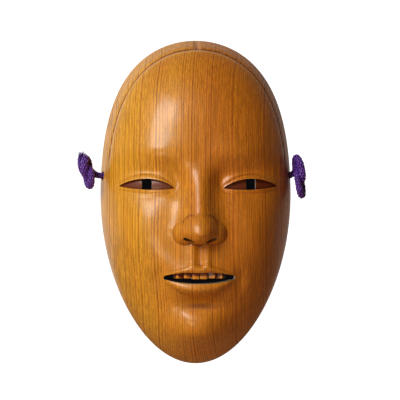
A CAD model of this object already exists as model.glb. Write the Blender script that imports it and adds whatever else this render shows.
"""A carved wooden noh mask with a braided purple cord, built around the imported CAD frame.

The mask looks along -Y. Face shapes are worked out in millimetres and turned to metres
when a mesh is made. HIGH means how far the wood stands out of the back rim's plane (-Y).
"""
import math

import bmesh
import bpy
import numpy as np
from mathutils import Matrix, Vector


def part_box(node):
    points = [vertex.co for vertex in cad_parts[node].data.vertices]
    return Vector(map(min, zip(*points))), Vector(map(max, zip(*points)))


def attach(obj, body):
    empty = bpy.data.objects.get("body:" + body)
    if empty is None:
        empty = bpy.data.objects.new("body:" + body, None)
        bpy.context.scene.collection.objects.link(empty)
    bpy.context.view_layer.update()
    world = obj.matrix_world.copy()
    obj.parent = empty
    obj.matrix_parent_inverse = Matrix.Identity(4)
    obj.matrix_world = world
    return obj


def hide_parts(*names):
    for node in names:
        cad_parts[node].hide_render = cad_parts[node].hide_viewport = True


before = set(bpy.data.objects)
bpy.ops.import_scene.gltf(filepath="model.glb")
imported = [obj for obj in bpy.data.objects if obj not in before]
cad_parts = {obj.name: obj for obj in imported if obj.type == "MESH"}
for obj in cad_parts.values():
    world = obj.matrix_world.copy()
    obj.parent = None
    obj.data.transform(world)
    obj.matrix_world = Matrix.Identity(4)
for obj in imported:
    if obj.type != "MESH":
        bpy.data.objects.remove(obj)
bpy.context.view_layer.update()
shell_low, shell_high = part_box("mask_shell")

MM = 0.001
MASK_W = (shell_high.x - shell_low.x) / MM
MASK_H = (shell_high.z - shell_low.z) / MM
HALF_W = MASK_W / 2
WIDEST_Z = 5.0
TOP_H = MASK_H / 2 - WIDEST_Z
LOW_H = MASK_H / 2 + WIDEST_Z
CROWN_FULL = 0.20
CHIN_TAPER = -0.06
DOME_DEPTH = 52.0
DOME_POWER = 2.8
RIM_W = 7.0
WALL = 9.0


# ---------------------------------------------------------------- small helpers

def ease(a, b, v):
    s = np.clip((v - a) / (b - a), 0, 1)
    return s * s * (3 - 2 * s)


def bell(x, z, cx, cz, sx, sz):
    """A soft mound on both sides of the face, 1 high at (cx, cz)."""
    return np.exp(-((np.abs(x) - cx) / sx) ** 2 - ((z - cz) / sz) ** 2)


def smooth_max(a, b, k):
    """The higher of two surfaces, blended over about k mm where they meet."""
    h = np.clip(0.5 + 0.5 * (a - b) / k, 0, 1)
    return b + (a - b) * h + k * h * (1 - h)


def egg(x, z, cx, cz, front, rx, ry, rz):
    """Front surface of an ellipsoid whose foremost point is `front` high."""
    inside = 1 - ((np.abs(x) - cx) / rx) ** 2 - ((z - cz) / rz) ** 2
    return front - ry + ry * np.sqrt(np.maximum(inside, 0)) - 40 * np.maximum(-inside, 0)


def mesh_object(name, verts, faces):
    mesh = bpy.data.meshes.new(name)
    mesh.from_pydata([tuple(v) for v in np.asarray(verts) * MM], [], faces)
    mesh.update()
    mesh.shade_smooth()
    obj = bpy.data.objects.new(name, mesh)
    bpy.context.scene.collection.objects.link(obj)
    return obj


def grid_faces(rows, cols, start=0, flip=False):
    i, j = np.meshgrid(np.arange(rows - 1), np.arange(cols - 1), indexing="ij")
    a = start + i * cols + j
    quads = np.stack([a, a + 1, a + cols + 1, a + cols], -1).reshape(-1, 4)
    return (quads[:, ::-1] if flip else quads).tolist()


def grid_loop(rows, cols):
    """The border of a grid, as one loop of vertex numbers."""
    bottom = list(range(cols))
    right = [i * cols + cols - 1 for i in range(1, rows)]
    top = [(rows - 1) * cols + j for j in range(cols - 2, -1, -1)]
    left = [i * cols for i in range(rows - 2, 0, -1)]
    return bottom + right + top + left


def combine(obj, others, operation):
    """Joins or cuts closed meshes, then deletes the cutters."""
    for other in others:
        mod = obj.modifiers.new("carve", "BOOLEAN")
        mod.object = other
        mod.operation = operation
        mod.solver = "MANIFOLD"
    depsgraph = bpy.context.evaluated_depsgraph_get()
    mesh = bpy.data.meshes.new_from_object(obj.evaluated_get(depsgraph))
    old = obj.data
    obj.modifiers.clear()
    obj.data = mesh
    bpy.data.meshes.remove(old)
    for other in others:
        bpy.data.meshes.remove(other.data)


# ---------------------------------------------------------------- the braided cord

CORD_D = 5.0
CORD_Y, CORD_Z = -11.5, 17.0
# The cord's way behind the face, from the left hole to the middle; the rest is its mirror image
HALF_ROUTE = [
    (-63.5, CORD_Y, CORD_Z), (-59, CORD_Y, CORD_Z), (-54, CORD_Y, CORD_Z), (-50.5, CORD_Y, 16.5),
    (-47, -12, 14.5), (-44.5, -12.5, 11.5), (-42, -13, 7.5), (-38, -13.5, 1), (-32.5, -14, -6),
    (-26, -14.5, -12.5), (-18, -15, -17.5), (-9, -15, -20),
]
ROUTE = HALF_ROUTE + [(0, -15, -21)] + [(-x, y, z) for x, y, z in reversed(HALF_ROUTE)]
LOBE = 2.6           # a knot's three lobes reach three times this from its middle
KNOT_HALF_THICK = 1.8
KNOT_APART = 2.2     # how far the two ends of a knot are spread across it
PINCH = 0.86         # the cord is drawn thin in the holes
STRANDS = 12
STRAND_HALF_WIDE = 0.88
STRAND_HALF_THICK = 0.52
WEAVE = 0.40         # how far a strand rises and dips as it crosses the others
CORE_R = 1.45
THREADS = 5          # frayed threads from each strand, at each tip
LEVEL = 1.6          # distance along the cord from one crossing of strands to the next
FRAY = 3.6
ROUTE_STEP = 1.2     # spacing of the points while the line is smoothed
SOFT_WEIGHT = 0.25   # how far a point goes towards its neighbours in a round
SOFTEN = 18          # rounds of smoothing on the free cord
SOFTEN_KNOTS = 3     # the first of them reach the knots too
KEEP_TIED = 5.0      # how far into a knot the later ones fade out


def length(points):
    return float(np.linalg.norm(np.diff(points, axis=0), axis=1).sum())


def knot_line(side, middle, stretch, lean, start, tail):
    """An overhand knot that lies across X, pulled tight: a trefoil that is open at its back,
    where the cord comes in beside the face and the tail leaves on the far side. It starts at
    that angle in degrees, which puts its first point level with the hole."""
    t = np.radians(np.linspace(start, 348, 72))
    r = 2 + np.cos(3 * t)
    y = middle[1] + LOBE * r * np.cos(2 * t)
    z = middle[2] + LOBE * stretch * r * np.sin(2 * t)
    apart = ease(math.radians(285), math.radians(348), t) - ease(math.radians(60), 0, t)
    x = middle[0] + side * (KNOT_HALF_THICK * np.sin(3 * t) + KNOT_APART * apart) + lean * (z - middle[2])
    return [tuple(p) for p in np.stack([x, y, z], -1)] + list(tail)


def even(points, step):
    """The same line with points a step apart."""
    points = np.asarray(points, float)
    far = np.concatenate([[0], np.cumsum(np.linalg.norm(np.diff(points, axis=0), axis=1))])
    at = np.linspace(0, far[-1], max(2, round(far[-1] / step) + 1))
    return np.stack([np.interp(at, far, points[:, k]) for k in range(3)], -1)


def cord_line():
    """The whole cord's centreline, from the left tail's tip to the right tail's, and how
    thick the cord is at each point."""
    left = knot_line(-1, (-70.5, CORD_Y - 6, 19.2), 1.22, -0.22, -6,
                     [(-74.4, -9.6, 21), (-75.2, -9.8, 25), (-75.0, -11, 28.5), (-73.8, -12.6, 31.5)])
    right = knot_line(1, (66.4, CORD_Y - 6, 16.8), 1.72, -0.08, 3,
                      [(69.2, -8.8, 19), (68.4, -8.0, 22), (67.4, -8.4, 25)])
    whole = np.concatenate([left[::-1], ROUTE, right])
    line = even(whole, ROUTE_STEP)
    far = np.linspace(0, length(whole), len(line))
    in_knot = np.maximum(length(left) - far, far - far[-1] + length(right))
    free = ease(KEEP_TIED, 0, in_knot)[1:-1, None]
    for turn in range(SOFTEN):
        weight = SOFT_WEIGHT if turn < SOFTEN_KNOTS else SOFT_WEIGHT * free
        line[1:-1] += weight * (line[:-2] - 2 * line[1:-1] + line[2:])
    line = even(line, LEVEL / 3)
    x = np.abs(line[:, 0])
    thick = 1 - (1 - PINCH) * ease(56, 60, x) * ease(67, 65, x)
    return line, thick


def frames(line):
    """A pair of directions across the line at each point, carried along without twist."""
    along = np.gradient(line, axis=0)
    along /= np.linalg.norm(along, axis=1)[:, None]
    u = np.zeros_like(line)
    u[0] = np.cross(along[0], [0, 0.3, 1.0])
    u[0] /= np.linalg.norm(u[0])
    for i in range(1, len(line)):
        v = u[i - 1] - along[i] * np.dot(u[i - 1], along[i])
        u[i] = v / np.linalg.norm(v)
    return along, u, np.cross(along, u)


def tube(points, across, out, half_wide, half_thick, sides):
    """Vertices and faces of a tube with an oval section, closed at both ends."""
    n = len(points)
    a = 2 * np.pi * np.arange(sides) / sides
    ring = (np.cos(a)[None, :, None] * across[:, None] * np.reshape(half_wide, (-1, 1, 1))
            + np.sin(a)[None, :, None] * out[:, None] * np.reshape(half_thick, (-1, 1, 1)))
    verts = (points[:, None] + ring).reshape(-1, 3)
    i, k = np.meshgrid(np.arange(n - 1), np.arange(sides), indexing="ij")
    m = (k + 1) % sides
    faces = np.stack([i * sides + k, (i + 1) * sides + k, (i + 1) * sides + m, i * sides + m], -1)
    faces = faces.reshape(-1, 4).tolist()
    faces.append(list(range(sides)))
    faces.append([(n - 1) * sides + k for k in range(sides)][::-1])
    return verts, faces


def braided_cord():
    """Strands that cross over and under each other, and fray into threads at both tips."""
    line, thick = cord_line()
    along, u, v = frames(line)
    s = np.arange(len(line)) * (LEVEL / 3)
    total = s[-1]
    half = STRANDS // 2
    turn = math.pi / (half * LEVEL)
    body = (s > FRAY) & (s < total - FRAY)
    inner = np.where(body)[0]
    rng = np.random.default_rng(7)
    verts, faces, marks = [], [], []
    count = 0

    def add(part_verts, part_faces, mark):
        nonlocal count
        verts.append(part_verts)
        faces.extend([[f + count for f in face] for face in part_faces])
        marks.append(mark)
        count += len(part_verts)

    def place(i, angle, radius):
        out = np.cos(angle)[:, None] * u[i] + np.sin(angle)[:, None] * v[i]
        return line[i] + out * np.reshape(radius * thick[i], (-1, 1)), out

    for k in range(STRANDS):
        way = 1 if k < half else -1
        angle = 2 * math.pi * (k % half) / half + way * turn * s[inner]
        over = way * np.cos(math.pi * s[inner] / LEVEL)
        centre, out = place(inner, angle, CORD_D / 2 - STRAND_HALF_THICK - WEAVE + WEAVE * over)
        heading = np.gradient(centre, axis=0)
        heading /= np.linalg.norm(heading, axis=1)[:, None]
        across = np.cross(heading, out)
        wide = thick[inner]
        v_s, f_s = tube(centre, across, out, STRAND_HALF_WIDE * wide, STRAND_HALF_THICK * wide, 6)
        mark = np.stack([np.repeat(s[inner] * 1.15, 6), np.tile(np.arange(6) / 6.0, len(inner)),
                         np.repeat(over, 6)], -1)
        add(v_s, f_s, mark)
        # threads at the two frayed tips
        for end in (0, 1):
            i0 = inner[0] if end == 0 else inner[-1]
            step_way = -1 if end == 0 else 1
            base_angle = angle[0] if end == 0 else angle[-1]
            for _ in range(THREADS):
                n = 8
                g = np.linspace(0, 1, n)
                far = g * FRAY * rng.uniform(0.65, 1.0) / (LEVEL / 3)
                i = np.clip(i0 + step_way * np.round(far).astype(int), 0, len(line) - 1)
                spin = base_angle + rng.normal(0, 0.25) + g * rng.normal(0, 0.7)
                radius = 1.5 + g ** 1.2 * rng.uniform(-1.0, 2.4) + rng.normal(0, 0.12)
                centre, out = place(i, spin, radius)
                centre = centre + along[i] * step_way * (g * 0.4)[:, None]
                centre += rng.normal(0, 0.10, centre.shape) * g[:, None]
                side = np.cross(along[i], out)
                wide = 0.30 * (1 - 0.65 * g)
                v_s, f_s = tube(centre, side, out, wide, wide, 5)
                mark = np.stack([np.repeat(s[i], 5), np.tile(np.arange(5) / 5.0, n),
                                 np.full(n * 5, rng.random())], -1)
                add(v_s, f_s, mark)
    centre, out = place(inner, s[inner] * 0, 0.0)
    core = CORE_R * thick[inner]
    v_s, f_s = tube(centre, v[inner], u[inner], core, core, 8)
    add(v_s, f_s, np.zeros((len(v_s), 3)))
    obj = mesh_object("braided_cord", np.concatenate(verts), faces)
    attribute(obj, "strand", np.concatenate(marks))
    return obj, line


def attribute(obj, name, values):
    values = np.asarray(values, np.float32)
    kind = "FLOAT" if values.ndim == 1 else "FLOAT_VECTOR"
    made = obj.data.attributes.new(name, kind, "POINT")
    made.data.foreach_set("value" if values.ndim == 1 else "vector", values.ravel())


# ---------------------------------------------------------------- the face as a height

EYE_X, EYE_Z, EYE_LEN = 33.0, 10.0, 35.0
EYE_IN, EYE_OUT = EYE_X - EYE_LEN / 2, EYE_X + EYE_LEN / 2
PUPIL_W = 6.4
NOSE_Z = -17.0
MOUTH_Z = -47.8
MOUTH_HALF = 21.5
TEETH = 6
TOOTH_W, TOOTH_GAP, TOOTH_DEEP, TOOTH_H = 5.3, 0.5, 6.0, 9.0


def eye_line(s):
    return EYE_Z - 1.2 + 1.4 * s


def upper_lid(s):
    """Height of the upper lid's edge; s runs from the inner (0) to the outer corner (1)."""
    s = np.clip(s, 0, 1)
    return eye_line(s) + 5.3 * (4 * s * (1 - s)) ** 0.85 * (1 + 0.12 * (0.5 - s))


def lower_lid(s):
    s = np.clip(s, 0, 1)
    return eye_line(s) - 1.7 * (4 * s * (1 - s)) ** 0.75


def lip_edges(x):
    """Upper border, upper edge, lower edge and lower border of the lips at x."""
    s = np.clip(np.abs(x) / MOUTH_HALF, 0, 1)
    bow = 0.8 * np.exp(-((np.abs(x) - 5.2) / 3.2) ** 2) - 0.5 * np.exp(-(x / 2.2) ** 2)
    border_up = MOUTH_Z + 2.2 + 6.2 * (1 - s ** 1.9) + bow
    edge_up = MOUTH_Z + 1.5 + 2.2 * (1 - s ** 2.2) - 0.5 * np.exp(-(x / 4) ** 2)
    edge_low = MOUTH_Z - 1.2 - 2.6 * (1 - s ** 2.4)
    border_low = MOUTH_Z - 1.9 - 10.6 * np.maximum(1 - s ** 2.1, 0) ** 0.85
    return border_up, edge_up, edge_low, border_low


def radius_at(x, z, rim=0.0):
    """0 at the middle of the egg-shaped outline and 1 on it."""
    above = z > WIDEST_Z
    t = (z - WIDEST_Z) / (np.where(above, TOP_H, LOW_H) - rim)
    full = np.where(above, CROWN_FULL, CHIN_TAPER)
    return np.hypot(x / ((HALF_W - rim) * (1 + full * t * t)), t)


def dome(r, depth):
    return depth * np.sqrt(np.maximum(0, 1 - r ** DOME_POWER))


def face_height(r, x, z):
    ax = np.abs(x)
    soft = (
        2.0 * bell(x, z, 0, 58, 40, 28)            # forehead
        + 2.2 * bell(x, z, 27, 32, 20, 8)          # brow
        - 5.5 * bell(x, z, 31, 14, 18, 12)         # eye socket
        - 4.0 * bell(x, z, 14.5, 13, 6.5, 10)      # inner corner of the eye
        + 4.5 * bell(x, z, 36, -24, 19, 22)        # cheek
        + 5.0 * bell(x, z, 0, -43, 26, 19)         # muzzle
        - 4.4 * bell(x, z, 0, -65, 15, 6.0)        # hollow under the lower lip
        + 9.0 * bell(x, z, 0, -83, 21, 14)         # chin
        - 1.5 * bell(x, z, 26, -49, 4, 6)          # beside the corners of the mouth
        - 1.2 * bell(x, z, 51, 30, 12, 18)         # temple
    )
    keep = ease(0.99, 0.8, r)
    h = dome(r, DOME_DEPTH) + soft * keep

    # eyelids lie over the eyeball
    ball = egg(x, z, EYE_X, EYE_Z + 0.5, 45.8, 21, 14, 12.5) - 0.36 * (ax - EYE_X)
    h = smooth_max(h, ball, 3.0)

    # nose: bridge, tip and wings
    s = np.clip((26.0 - z) / (26.0 - NOSE_Z), 0, 1)
    under = np.where(z < NOSE_Z, np.exp(-((NOSE_Z - z) / 5.5) ** 2), 1)
    width = 7.2 + 4.0 * s ** 1.5
    h = h + 16.5 * s ** 1.25 * under * np.exp(-(ax / width) ** 2.0)
    tip = egg(x, z, 0, -16.4, 69.4, 11.5, 15, 10.0)
    h = smooth_max(h, tip, 4.0)
    wing = egg(x, z, 9.4, -19.4, 59.6, 7.4, 13, 7.4)
    h = smooth_max(h, wing, 9.0)

    # philtrum between its two ridges
    fade = ease(-25, -28, z) * ease(-42, -39, z)
    h = h + fade * (1.1 * np.exp(-((ax - 4.6) / 2.3) ** 2) - 1.2 * np.exp(-(ax / 2.4) ** 2))

    # lips
    border_up, edge_up, edge_low, border_low = lip_edges(x)
    s = np.clip(ax / MOUTH_HALF, 0, 1)
    mid = edge_up + 0.4 * (border_up - edge_up)
    wide = 0.62 * np.maximum(border_up - edge_up, 0.8)
    h = h + 2.6 * (1 - s ** 3) * np.exp(-((z - mid) / wide) ** 2)
    h = h - 0.5 * (1 - s ** 4) * np.exp(-((z - border_up) / 0.8) ** 2)
    mid = edge_low - 0.45 * (edge_low - border_low)
    wide = 0.60 * np.maximum(edge_low - border_low, 0.8)
    h = h + 5.4 * (1 - s ** 2.6) * np.exp(-((z - mid) / wide) ** 2)
    h = h - 0.7 * (1 - s ** 4) * np.exp(-((z - border_low) / 0.9) ** 2)

    # incised lines above and below each eye
    s = np.clip((ax - EYE_IN) / EYE_LEN, 0, 1)
    near = ease(EYE_IN - 2, EYE_IN + 4, ax) * ease(EYE_OUT + 2.5, EYE_OUT - 1, ax)
    crease = upper_lid(s) + 1.3 + 1.3 * 4 * s * (1 - s)
    h = h - 0.75 * near * np.exp(-((z - crease) / 0.6) ** 2)
    fold = lower_lid(s) - 2.6
    h = h - 0.45 * near * np.exp(-((z - fold) / 0.7) ** 2)

    # a lower band around the crown, with a groove on each side of it and a notch at the parting
    crown = ease(8, 34, z)
    band = ease(0.915, 0.93, r) * ease(1.0, 0.985, r)
    grooves = np.exp(-((r - 0.925) / 0.006) ** 2) + 0.6 * np.exp(-((r - 0.972) / 0.005) ** 2)
    notch = np.exp(-(x / 1.5) ** 2) * ease(0.91, 0.94, r) * ease(1.0, 0.995, r)
    return h - crown * (2.6 * band + 1.3 * grooves + 2.2 * notch)


def spread(dense, count):
    """Places from -1 to 1, where dense(v) says how many a unit of length gets."""
    v = np.linspace(-1, 1, 8001)
    total = np.cumsum(dense(v))
    total = (total - total[0]) / (total[-1] - total[0])
    return np.interp(np.linspace(0, 1, count), total, v)


def disc_grid(a, b, rim=0.0):
    """Maps a grid of a by b, both -1 to 1, onto the egg; returns r, x and z."""
    a, b = np.meshgrid(a, b)
    u = a * np.sqrt(1 - b * b / 2)
    t = b * np.sqrt(1 - a * a / 2)
    full = np.where(t > 0, CROWN_FULL, CHIN_TAPER)
    x = u * (HALF_W - rim) * (1 + full * t * t)
    z = WIDEST_Z + t * (np.where(t > 0, TOP_H, LOW_H) - rim)
    return np.minimum(np.hypot(u, t), 1), x, z


def wall_length(v, half):
    """Length of the dome's own curve per unit of v, for a dome half this wide."""
    v = np.minimum(np.abs(v), 0.9995)
    slope = DOME_DEPTH * DOME_POWER / 2 * v ** (DOME_POWER - 1) / np.sqrt(1 - v ** DOME_POWER)
    return np.hypot(half, slope)


def columns(v):
    fine = ease(54 / HALF_W, 46 / HALF_W, np.abs(v))
    return wall_length(v, HALF_W) * (0.75 + 0.9 * fine)


def rows(v):
    z = WIDEST_Z + v * np.where(v > 0, TOP_H, LOW_H)
    eye = ease(-4, 1, z) * ease(25, 20, z)
    nose = ease(-33, -29, z) * ease(-9, -13, z)
    mouth = ease(-66, -62, z) * ease(-33, -37, z)
    return wall_length(v, LOW_H) * (0.8 + 1.4 * eye + 1.4 * nose + 1.6 * mouth)


def droop(h, x, z):
    """How far down the nose hangs at (x, z)."""
    return 0.16 * np.maximum(h - 54, 0) * bell(x, z, 0, -19, 14, 14)


def tool_waves(x, z):
    """The shallow unevenness that a knife and polishing leave."""
    slow = np.sin(x / 4.7 + 1.7 * np.sin(z / 11.3)) * np.sin(z / 7.9 + 1.3 * np.sin(x / 8.1 + 2))
    fine = np.sin(x / 2.3 + z / 6.1 + 1.1 * np.sin(z / 3.7)) * np.sin(z / 3.1 - x / 5.3)
    return 0.10 * slow + 0.03 * fine


def block():
    """The outer form, closed by the flat plane of the back rim."""
    cols, lines = ((241, 321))
    r, x, z = disc_grid(spread(columns, cols), spread(rows, lines))
    h = face_height(r, x, z) + tool_waves(x, z) * ease(1.0, 0.9, r)
    z = z - droop(h, x, z)
    # the back edge is rounded
    edge = 1.3
    inset = edge - np.sqrt(edge ** 2 - np.clip(edge - h, 0, edge) ** 2)
    shrink = 1 - inset / HALF_W
    verts = np.stack([x * shrink, -h, z * shrink], -1).reshape(-1, 3)
    faces = grid_faces(lines, cols)
    faces.append(grid_loop(lines, cols)[::-1])
    return mesh_object("mask_carving", verts, faces)


def prism_cutter(name, lo_s, hi_s, edges, back, front=90.0, steps=48, levels=10):
    """A cutter between two edge lines: edges(s) gives x, low z and high z, and
    back(x, z) is how high its back face stands."""
    s = np.linspace(lo_s, hi_s, steps)
    v = np.linspace(0, 1, levels)
    x, low, high = edges(s)
    xs = np.repeat(x[None, :], levels, 0)
    zs = low[None, :] + v[:, None] * (high - low)[None, :]
    ys = back(xs, zs)
    near = np.stack([xs, -np.full_like(xs, front), zs], -1).reshape(-1, 3)
    far = np.stack([xs, -ys, zs], -1).reshape(-1, 3)
    n = levels * steps
    faces = grid_faces(levels, steps) + grid_faces(levels, steps, n, flip=True)
    ring = grid_loop(levels, steps)
    for a, b in zip(ring, ring[1:] + ring[:1]):
        faces.append((b, a, a + n, b + n))
    obj = mesh_object(name, np.concatenate([near, far]), faces)
    bm = bmesh.new()
    bm.from_mesh(obj.data)
    bmesh.ops.remove_doubles(bm, verts=bm.verts, dist=0.002 * MM)
    bmesh.ops.dissolve_degenerate(bm, edges=bm.edges, dist=0.001 * MM)
    bmesh.ops.recalc_face_normals(bm, faces=bm.faces)
    bm.to_mesh(obj.data)
    bm.free()
    return obj


def eyeball(x, z):
    ax = np.abs(x)
    return egg(x, z, EYE_X, EYE_Z, 42.6, 26, 15, 15) - 0.36 * (ax - EYE_X)


def eye_cutters(side):
    def edges(s):
        return side * (EYE_IN + EYE_LEN * s), lower_lid(s), upper_lid(s)

    mid = 0.5
    half = PUPIL_W / EYE_LEN / 2
    return [
        prism_cutter("eye_cut", 0.0, 1.0, edges, eyeball),
        prism_cutter("pupil_cut", mid - half, mid + half, edges, lambda x, z: x * 0 + 20, 85, 8, 4),
    ]


def tube_cutter(name, points, radii, sides=24):
    """A cutter along a line of points, with an oval section (across, high) at each."""
    points = np.asarray(points, float)
    verts = []
    for i, p in enumerate(points):
        d = points[min(i + 1, len(points) - 1)] - points[max(i - 1, 0)]
        d /= np.linalg.norm(d)
        side = np.cross(d, [0, 0, 1.0] if abs(d[2]) < 0.9 else [0, 1.0, 0])
        side /= np.linalg.norm(side)
        up = np.cross(side, d)
        for k in range(sides):
            a = 2 * math.pi * k / sides
            verts.append(p + radii[i][0] * math.cos(a) * side + radii[i][1] * math.sin(a) * up)
    faces = []
    for i in range(len(points) - 1):
        for k in range(sides):
            m = (k + 1) % sides
            faces.append((i * sides + k, i * sides + m, (i + 1) * sides + m, (i + 1) * sides + k))
    faces.append(list(range(sides))[::-1])
    faces.append([(len(points) - 1) * sides + k for k in range(sides)])
    obj = mesh_object(name, verts, faces)
    bm = bmesh.new()
    bm.from_mesh(obj.data)
    bmesh.ops.recalc_face_normals(bm, faces=bm.faces)
    bm.to_mesh(obj.data)
    bm.free()
    return obj


def mouth_cutters():
    def edges(s):
        x = MOUTH_HALF * s
        _, high, low, _ = lip_edges(x)
        return x, low, high

    corners = [
        tube_cutter("corner_cut", [(side * (MOUTH_HALF - 0.4), -90, MOUTH_Z),
                                   (side * (MOUTH_HALF - 0.4), -20, MOUTH_Z)], [(1.5, 1.5)] * 2)
        for side in (-1, 1)
    ]
    return [prism_cutter("mouth_cut", -1.0, 1.0, edges, lambda x, z: x * 0 + 20, 90, 60, 8)] + corners


def nostril_cutter(side):
    route = [(6.4, -68, -30.0), (6.8, -62, -25.0), (7.6, -55, -20.0), (8, -47, -16), (7, -36, -13)]
    sizes = [(3.6, 2.4), (3.5, 2.3), (3.2, 2.3), (2.8, 2.4), (2.6, 2.6)]
    return tube_cutter("nostril_cut", [(side * x, y, z) for x, y, z in route], sizes)


def hollow_height(r, x, z):
    return dome(r, DOME_DEPTH - WALL) + 9 * bell(x, z, 0, -14, 11, 20) + gouges(x, z) * ease(1.0, 0.93, r)


def hollow_cutter():
    """The carved hollow, with rows of shallow gouge marks."""
    cols, lines = ((111, 171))
    r, x, z = disc_grid(spread(lambda v: wall_length(v, HALF_W), cols),
                        spread(lambda v: wall_length(v, LOW_H), lines), RIM_W)
    h = hollow_height(r, x, z)
    # a small chamfer where the hollow meets the rim, and a skirt past the rim's plane
    flare = 1 + 0.9 * np.clip(1.2 - h, 0, 1.2) / HALF_W
    verts = np.stack([x * flare, -h, z * flare], -1).reshape(-1, 3)
    loop = grid_loop(lines, cols)
    skirt = verts[loop] * [1, 0, 1] + [0, 5, 0]
    faces = grid_faces(lines, cols)
    n = len(verts)
    count = len(loop)
    for k in range(count):
        m = (k + 1) % count
        faces.append((loop[m], loop[k], n + k, n + m))
    faces.append([n + k for k in range(count)][::-1])
    return mesh_object("hollow_cut", np.concatenate([verts, skirt]), faces)


def gouges(x, z):
    """Depth of overlapping gouge strokes: long cells, each hollowed a little."""
    w, length = 6.5, 19.0
    best = np.full_like(x, 9.0)
    ci, cj = np.floor(x / w), np.floor(z / length)
    for di in (-1, 0, 1):
        for dj in (-1, 0, 1):
            i, j = ci + di, cj + dj
            jit = np.sin(i * 12.9898 + j * 78.233) * 43758.5453
            jx = jit - np.floor(jit)
            jit = np.sin(i * 39.346 + j * 11.135) * 24634.6345
            jz = jit - np.floor(jit)
            px = (i + 0.25 + 0.5 * jx) * w
            pz = (j + 0.15 + 0.7 * jz) * length
            best = np.minimum(best, ((x - px) / w) ** 2 + ((z - pz) / length) ** 2)
    return 0.9 * (0.35 - np.minimum(best, 0.6))


def teeth():
    """Upper teeth in a shallow arch, rooted in the wood above the mouth."""
    made = []
    for i in range(TEETH):
        from_middle = i - (TEETH - 1) / 2
        cx = from_middle * TOOTH_W
        front = 54.5 - (cx / 22) ** 2 * 8
        _, top, _, _ = lip_edges(np.array([cx]))
        bottom = float(top[0]) - 4.3 + 0.35 * abs(from_middle)
        bm = bmesh.new()
        bmesh.ops.create_cube(bm, size=1.0)
        bmesh.ops.scale(bm, vec=(TOOTH_W - TOOTH_GAP, TOOTH_DEEP, TOOTH_H), verts=bm.verts)
        bmesh.ops.bevel(bm, geom=list(bm.edges), offset=0.9, segments=3, profile=0.6, affect="EDGES")
        bmesh.ops.rotate(bm, verts=bm.verts, cent=(0, 0, 0), matrix=Matrix.Rotation(-cx * 0.028, 3, "Z"))
        bmesh.ops.translate(bm, vec=(cx, -front + TOOTH_DEEP / 2, bottom + TOOTH_H / 2), verts=bm.verts)
        bmesh.ops.scale(bm, vec=(MM, MM, MM), verts=bm.verts)
        mesh = bpy.data.meshes.new("tooth")
        bm.to_mesh(mesh)
        bm.free()
        obj = bpy.data.objects.new("tooth", mesh)
        bpy.context.scene.collection.objects.link(obj)
        made.append(obj)
    return made


def mask():
    obj = block()
    hole = tube_cutter("hole_cut", [(-80, CORD_Y, CORD_Z), (80, CORD_Y, CORD_Z)], [(3.0, 3.0)] * 2, 40)
    cutters = [hollow_cutter(), hole] + mouth_cutters()
    for side in (-1, 1):
        cutters += eye_cutters(side) + [nostril_cutter(side)]
    combine(obj, cutters, "DIFFERENCE")
    combine(obj, teeth(), "UNION")
    obj.data.materials.clear()
    obj.data.shade_smooth()
    obj.data.set_sharp_from_angle(angle=math.radians(38))
    measure(obj)
    return obj


def measure(obj):
    """Gives the wood what its materials read: how deep each point lies under the face, how
    hollowed or raised the surface is there, and which faces belong to the carved hollow."""
    mesh = obj.data
    points = np.zeros(len(mesh.vertices) * 3, np.float32)
    normals = np.zeros_like(points)
    mesh.vertices.foreach_get("co", points)
    mesh.vertices.foreach_get("normal", normals)
    points = points.reshape(-1, 3).astype(float) / MM
    normals = normals.reshape(-1, 3)
    x, y, z = points.T

    level = z.copy()
    for _ in range(4):
        h = face_height(np.minimum(radius_at(x, level), 1), x, level)
        level = z + droop(h, x, level)
    attribute(obj, "depth", np.clip(h + y, 0, 30) * ease(0.97, 0.93, radius_at(x, z)))

    edges = np.zeros(len(mesh.edges) * 2, np.int32)
    mesh.edges.foreach_get("vertices", edges)
    a, b = edges.reshape(-1, 2).T
    count = len(points)
    ways = np.bincount(a, minlength=count) + np.bincount(b, minlength=count)
    smooth = points.copy()
    for _ in range(6):
        total = np.stack([np.bincount(a, smooth[b, k], count) + np.bincount(b, smooth[a, k], count)
                          for k in range(3)], -1)
        smooth = 0.4 * smooth + 0.6 * total / ways[:, None]
    attribute(obj, "hollowed", ((smooth - points) * normals).sum(1))

    centres = np.zeros(len(mesh.polygons) * 3, np.float32)
    facing = np.zeros_like(centres)
    mesh.polygons.foreach_get("center", centres)
    mesh.polygons.foreach_get("normal", facing)
    x, y, z = centres.reshape(-1, 3).T / MM
    r = radius_at(x, z, RIM_W)
    floor = (np.abs(hollow_height(np.minimum(r, 1), x, z) + y) < 0.5) & (r < 1.01)
    outward = np.stack([x / HALF_W ** 2, (z - WIDEST_Z) / LOW_H ** 2], -1)
    outward /= np.maximum(np.linalg.norm(outward, axis=1), 1e-9)[:, None]
    inward_facing = (facing.reshape(-1, 3)[:, ::2] * outward).sum(1) < -0.3
    inside = floor | (inward_facing & (r > 0.88) & (r < 1.03))
    mesh.polygons.foreach_set("material_index", inside.astype(np.int32))


# ---------------------------------------------------------------- materials

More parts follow.
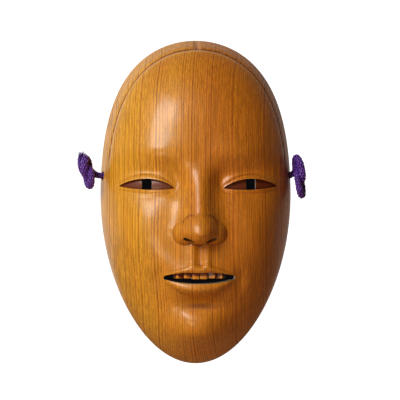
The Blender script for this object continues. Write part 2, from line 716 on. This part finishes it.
class Graph:
    """A material and short ways to add nodes to it."""

    def __init__(self, name):
        self.material = bpy.data.materials.new(name)
        self.material.use_nodes = True
        self.tree = self.material.node_tree
        self.shader = self.tree.nodes["Principled BSDF"]

    def put(self, socket, value):
        if isinstance(value, bpy.types.NodeSocket):
            self.tree.links.new(value, socket)
        else:
            socket.default_value = value

    def node(self, kind, inputs, output=0, **settings):
        made = self.tree.nodes.new(kind)
        for key, value in settings.items():
            setattr(made, key, value)
        for key, value in inputs.items():
            self.put(made.inputs[key], value)
        return made.outputs[output]

    def math(self, operation, *values):
        return self.node("ShaderNodeMath", dict(enumerate(values)), operation=operation)

    def step(self, value, start, end, low=0.0, high=1.0):
        ends = {"Value": value, "From Min": start, "From Max": end, "To Min": low, "To Max": high}
        return self.node("ShaderNodeMapRange", ends, interpolation_type="SMOOTHSTEP")

    def mix(self, factor, a, b, blend="MIX"):
        return self.node("ShaderNodeMix", {0: factor, 6: a, 7: b}, 2, data_type="RGBA", blend_type=blend)

    def stretch(self, vector, amounts):
        return self.node("ShaderNodeVectorMath", {0: vector, 1: amounts}, operation="MULTIPLY")

    def noise(self, vector, detail=2.0, roughness=0.5):
        inputs = {"Vector": vector, "Scale": 1.0, "Detail": detail, "Roughness": roughness}
        return self.node("ShaderNodeTexNoise", inputs, "Fac")

    def read(self, name, output="Fac"):
        return self.node("ShaderNodeAttribute", {}, output, attribute_name=name)

    def finish(self, **values):
        for key, value in values.items():
            self.put(self.shader.inputs[key.replace("_", " ")], value)
        return self.material


SAPWOOD = (0.72, 0.360, 0.026, 1)
HEARTWOOD = (0.60, 0.215, 0.013, 1)
LATEWOOD = (0.38, 0.100, 0.006, 1)
RESIN = (0.20, 0.045, 0.006, 1)
STAIN = (0.150, 0.028, 0.006, 1)
SHADOW = (0.030, 0.008, 0.004, 1)


def wood(name, roughness, coat, aged):
    """Straight-grained wood. The rings stand nearly square to X, so the face shows close
    upright lines; sapwood lies towards -X."""
    g = Graph(name)
    place = g.node("ShaderNodeTexCoord", {}, "Object")
    mm = g.node("ShaderNodeVectorMath", {0: place, "Scale": 1000.0}, operation="SCALE")
    x = g.node("ShaderNodeSeparateXYZ", {0: mm}, "X")
    y = g.node("ShaderNodeSeparateXYZ", {0: mm}, "Y")

    # distance across the rings, which lean with depth and wander a little along the trunk
    wander = g.noise(g.stretch(mm, (0.02, 0.02, 0.007)), 1.0)
    across = g.math("MULTIPLY_ADD", y, -0.13, x)
    across = g.math("MULTIPLY_ADD", wander, 6.0, across)
    crowd = g.noise(g.node("ShaderNodeCombineXYZ", {0: g.math("MULTIPLY", across, 0.06)}), 1.0)
    phase = g.math("MULTIPLY_ADD", across, 0.66, g.math("MULTIPLY", crowd, 9.0))
    ring = g.math("FRACT", phase)
    number = g.math("FLOOR", phase)
    strong = g.node("ShaderNodeTexWhiteNoise", {"W": number}, "Value", noise_dimensions="1D")
    late = g.math("MULTIPLY", g.step(ring, 0.30, 0.90), g.step(ring, 1.0, 0.92))
    line = g.math("MULTIPLY", late, g.math("MULTIPLY_ADD", strong, 0.60, 0.25))
    resin = g.math("MULTIPLY", late, g.math("POWER", strong, 14.0))

    fibre = g.noise(g.stretch(mm, (2.6, 2.6, 0.05)), 3.0, 0.6)
    pores = g.step(g.noise(g.stretch(mm, (5.0, 5.0, 0.22)), 1.0), 0.62, 0.74)
    cloud = g.noise(g.stretch(mm, (0.055, 0.055, 0.010)), 2.0)

    heart = g.math("ADD", g.step(across, -52.0, 34.0), g.math("MULTIPLY_ADD", cloud, 0.9, -0.45))
    colour = g.mix(heart, SAPWOOD, HEARTWOOD)
    colour = g.mix(line, colour, LATEWOOD)
    colour = g.mix(g.math("MULTIPLY", resin, 0.7), colour, RESIN)
    streak = g.noise(g.stretch(mm, (0.95, 0.30, 0.012)), 2.0, 0.7)
    shade = g.math("MULTIPLY", g.step(fibre, 0.25, 0.75, 0.80, 1.13), g.step(streak, 0.30, 0.70, 0.80, 1.12))
    shade = g.math("MULTIPLY", shade, g.math("MULTIPLY_ADD", pores, -0.16, 1.0))
    colour = g.mix(1.0, colour, g.node("ShaderNodeCombineColor", {0: shade, 1: shade, 2: shade}), "MULTIPLY")
    colour = g.mix(aged, colour, LATEWOOD)

    # oil and dust gather in cuts, raised edges are rubbed paler
    hollowed = g.read("hollowed")
    depth = g.read("depth")
    colour = g.mix(g.step(hollowed, 0.06, 0.34, 0.0, 0.70), colour, STAIN)
    colour = g.mix(g.step(depth, 0.3, 1.2, 0.0, 0.97 - aged), colour, STAIN)
    colour = g.mix(g.step(depth, 4.0, 8.0, 0.0, 0.8 - aged), colour, SHADOW)
    colour = g.mix(g.step(hollowed, -0.05, -0.30, 0.0, 0.30), colour, SAPWOOD)

    rough = g.math("ADD", roughness, g.step(fibre, 0.3, 0.7, -0.05, 0.06))
    rough = g.math("ADD", rough, g.math("MULTIPLY", line, 0.06))
    grain = g.math("ADD", g.math("MULTIPLY", fibre, 0.5), g.math("MULTIPLY", line, -0.35))
    grain = g.math("ADD", grain, g.math("MULTIPLY", pores, -0.45))
    peel = g.noise(g.stretch(mm, (0.75, 0.75, 0.55)), 2.0, 0.6)
    height = g.math("ADD", grain, g.math("MULTIPLY", peel, 2.4))
    bump = g.node("ShaderNodeBump", {"Height": height, "Strength": 0.55, "Distance": 0.00016})
    return g.finish(Base_Color=colour, Roughness=rough, Coat_Weight=coat, Coat_Roughness=0.24,
                    IOR=1.48, Normal=bump)


def silk():
    """Deep violet braid: each strand is many fine threads with a slight twist."""
    g = Graph("purple_silk")
    strand = g.read("strand", "Vector")
    along = g.node("ShaderNodeSeparateXYZ", {0: strand}, "X")
    round_it = g.node("ShaderNodeSeparateXYZ", {0: strand}, "Y")
    crest = g.node("ShaderNodeSeparateXYZ", {0: strand}, "Z")
    twist = g.math("MULTIPLY_ADD", along, 0.55, round_it)
    threads = g.math("MULTIPLY_ADD", g.math("SINE", g.math("MULTIPLY", twist, 2 * math.pi * 4)), 0.5, 0.5)
    fuzz = g.noise(g.node("ShaderNodeCombineXYZ", {0: g.math("MULTIPLY", along, 2.2),
                                                   1: g.math("MULTIPLY", round_it, 9.0),
                                                   2: g.math("MULTIPLY", crest, 0.5)}), 3.0, 0.7)
    raised = g.step(crest, -0.5, 1.0)
    colour = g.mix(raised, (0.006, 0.001, 0.022, 1), (0.082, 0.014, 0.240, 1))
    colour = g.mix(g.math("MULTIPLY", threads, 0.12), colour, (0.20, 0.08, 0.50, 1))
    sparkle = g.math("MULTIPLY", raised, g.step(fuzz, 0.50, 0.66, 0.0, 0.9))
    colour = g.mix(sparkle, colour, (0.42, 0.20, 0.90, 1))
    height = g.math("MULTIPLY_ADD", threads, 0.7, g.math("MULTIPLY", fuzz, 0.8))
    bump = g.node("ShaderNodeBump", {"Height": height, "Strength": 0.5, "Distance": 0.00012})
    return g.finish(Base_Color=colour, Roughness=g.step(fuzz, 0.3, 0.8, 0.24, 0.42), IOR=1.55, Normal=bump,
                    Sheen_Weight=0.12, Sheen_Roughness=0.35, Sheen_Tint=(0.62, 0.42, 1.0, 1))


# ---------------------------------------------------------------- camera, light and stage

def add_camera():
    data = bpy.data.cameras.new("camera")
    data.lens = 160
    cam = bpy.data.objects.new("camera", data)
    bpy.context.scene.collection.objects.link(cam)
    yaw = math.radians(-3)
    target = Vector((0.0019, -0.02, 0.0013))
    cam.location = target + Vector((math.sin(yaw), -math.cos(yaw), 0)) * 1.15
    cam.rotation_euler = (target - cam.location).to_track_quat("-Z", "Y").to_euler()
    bpy.context.scene.camera = cam


def area_light(name, at, to, size, power, colour=(1, 1, 1)):
    light = bpy.data.lights.new(name, "AREA")
    light.energy = power
    light.size = size
    light.color = colour
    obj = bpy.data.objects.new(name, light)
    obj.location = at
    obj.rotation_euler = (Vector(to) - Vector(at)).to_track_quat("-Z", "Y").to_euler()
    bpy.context.scene.collection.objects.link(obj)


def add_world():
    """White for the camera. For the light it is bright behind the mask, more so on the left,
    and dim and warm in front, where the key light does the work."""
    world = bpy.data.worlds.new("studio")
    bpy.context.scene.world = world
    world.use_nodes = True
    tree = world.node_tree
    background = tree.nodes["Background"]

    def ramp(source, start, end, low, high):
        made = tree.nodes.new("ShaderNodeMapRange")
        made.interpolation_type = "SMOOTHSTEP"
        for key, value in {"From Min": start, "From Max": end, "To Min": low, "To Max": high}.items():
            made.inputs[key].default_value = value
        tree.links.new(source, made.inputs["Value"])
        return made.outputs["Result"]

    def mix(factor, a, b):
        made = tree.nodes.new("ShaderNodeMix")
        made.data_type = "RGBA"
        tree.links.new(factor, made.inputs[0])
        for socket, value in ((made.inputs[6], a), (made.inputs[7], b)):
            if isinstance(value, bpy.types.NodeSocket):
                tree.links.new(value, socket)
            else:
                socket.default_value = value
        return made.outputs[2]

    split = tree.nodes.new("ShaderNodeSeparateXYZ")
    tree.links.new(tree.nodes.new("ShaderNodeTexCoord").outputs["Generated"], split.inputs[0])
    side = mix(ramp(split.outputs["X"], -0.7, 0.7, 0, 1), (0.95, 0.90, 0.88, 1), (0.34, 0.30, 0.28, 1))
    lit = mix(ramp(split.outputs["Y"], -0.1, 0.75, 0, 1), (0.060, 0.042, 0.028, 1), side)
    seen = tree.nodes.new("ShaderNodeLightPath").outputs["Is Camera Ray"]
    tree.links.new(mix(seen, lit, (1, 1, 1, 1)), background.inputs["Color"])
    background.inputs["Strength"].default_value = 1.0


def stage_disc(name, outline, colour, bounce, glow):
    """A flat piece of the studio. The colour that it throws back on the mask is set apart,
    and so is a glow that only the camera sees, which lights nothing."""
    mesh = bpy.data.meshes.new(name)
    mesh.from_pydata(outline, [], [list(range(len(outline)))])
    obj = bpy.data.objects.new(name, mesh)
    bpy.context.scene.collection.objects.link(obj)
    g = Graph(name)
    seen = g.node("ShaderNodeLightPath", {}, "Is Camera Ray")
    colour = g.mix(seen, bounce, colour)
    shown = g.mix(seen, (0, 0, 0, 1), glow)
    mesh.materials.append(g.finish(Base_Color=colour, Roughness=0.9, Specular_IOR_Level=0.2,
                                   Emission_Color=shown, Emission_Strength=1.0))


def add_stage():
    """A pale floor, and a dark egg-shaped card far behind the face, so that the pupils and the
    mouth look into the dark, as they do when the mask lies on something. From straight behind
    the card hides the mask."""
    turn = np.linspace(0, 2 * math.pi, 97)[:-1]
    floor = [(4.0 * math.cos(t), 4.0 * math.sin(t) - 2.1, -0.45) for t in turn]
    stage_disc("floor", floor, (0.82, 0.81, 0.79, 1), (0.50, 0.36, 0.24, 1), (0.42, 0.42, 0.42, 1))
    card = []
    for t in turn:
        up = math.sin(t)
        full = CROWN_FULL if up > 0 else CHIN_TAPER
        x = HALF_W * math.cos(t) * (1 + full * up * up)
        z = WIDEST_Z + up * (TOP_H if up > 0 else LOW_H)
        card.append((0.019 + 1.18 * x * MM, 0.6, -0.017 + 1.18 * z * MM))
    dark = (0.004, 0.004, 0.006, 1)
    stage_disc("dark_card", card, dark, dark, (0, 0, 0, 1))


# ---------------------------------------------------------------- the scene

add_camera()

cord, cord_path = braided_cord()
cord.data.materials.append(silk())
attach(cord, "root")
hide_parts("hanging_cord", "left_knot", "right_knot")

carving = mask()
carving.data.materials.append(wood("polished_wood", 0.50, 0.46, 0.0))
carving.data.materials.append(wood("hollow_wood", 0.60, 0.0, 0.35))
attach(carving, "root")
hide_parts("mask_shell")

add_world()
area_light("key", (-0.90, -1.26, 0.84), (0, 0, 0), 0.80, 22)
area_light("fill", (0.9, -1.5, 0.1), (0, 0, 0), 0.9, 0.25, (1.0, 0.84, 0.68))
area_light("low_fill", (-0.50, -1.00, -0.26), (0, 0, -0.05), 0.34, 2.0, (1.0, 0.88, 0.72))
add_stage()
bpy.context.scene.view_settings.view_transform = "Standard"
bpy.context.scene.view_settings.look = "Medium High Contrast"
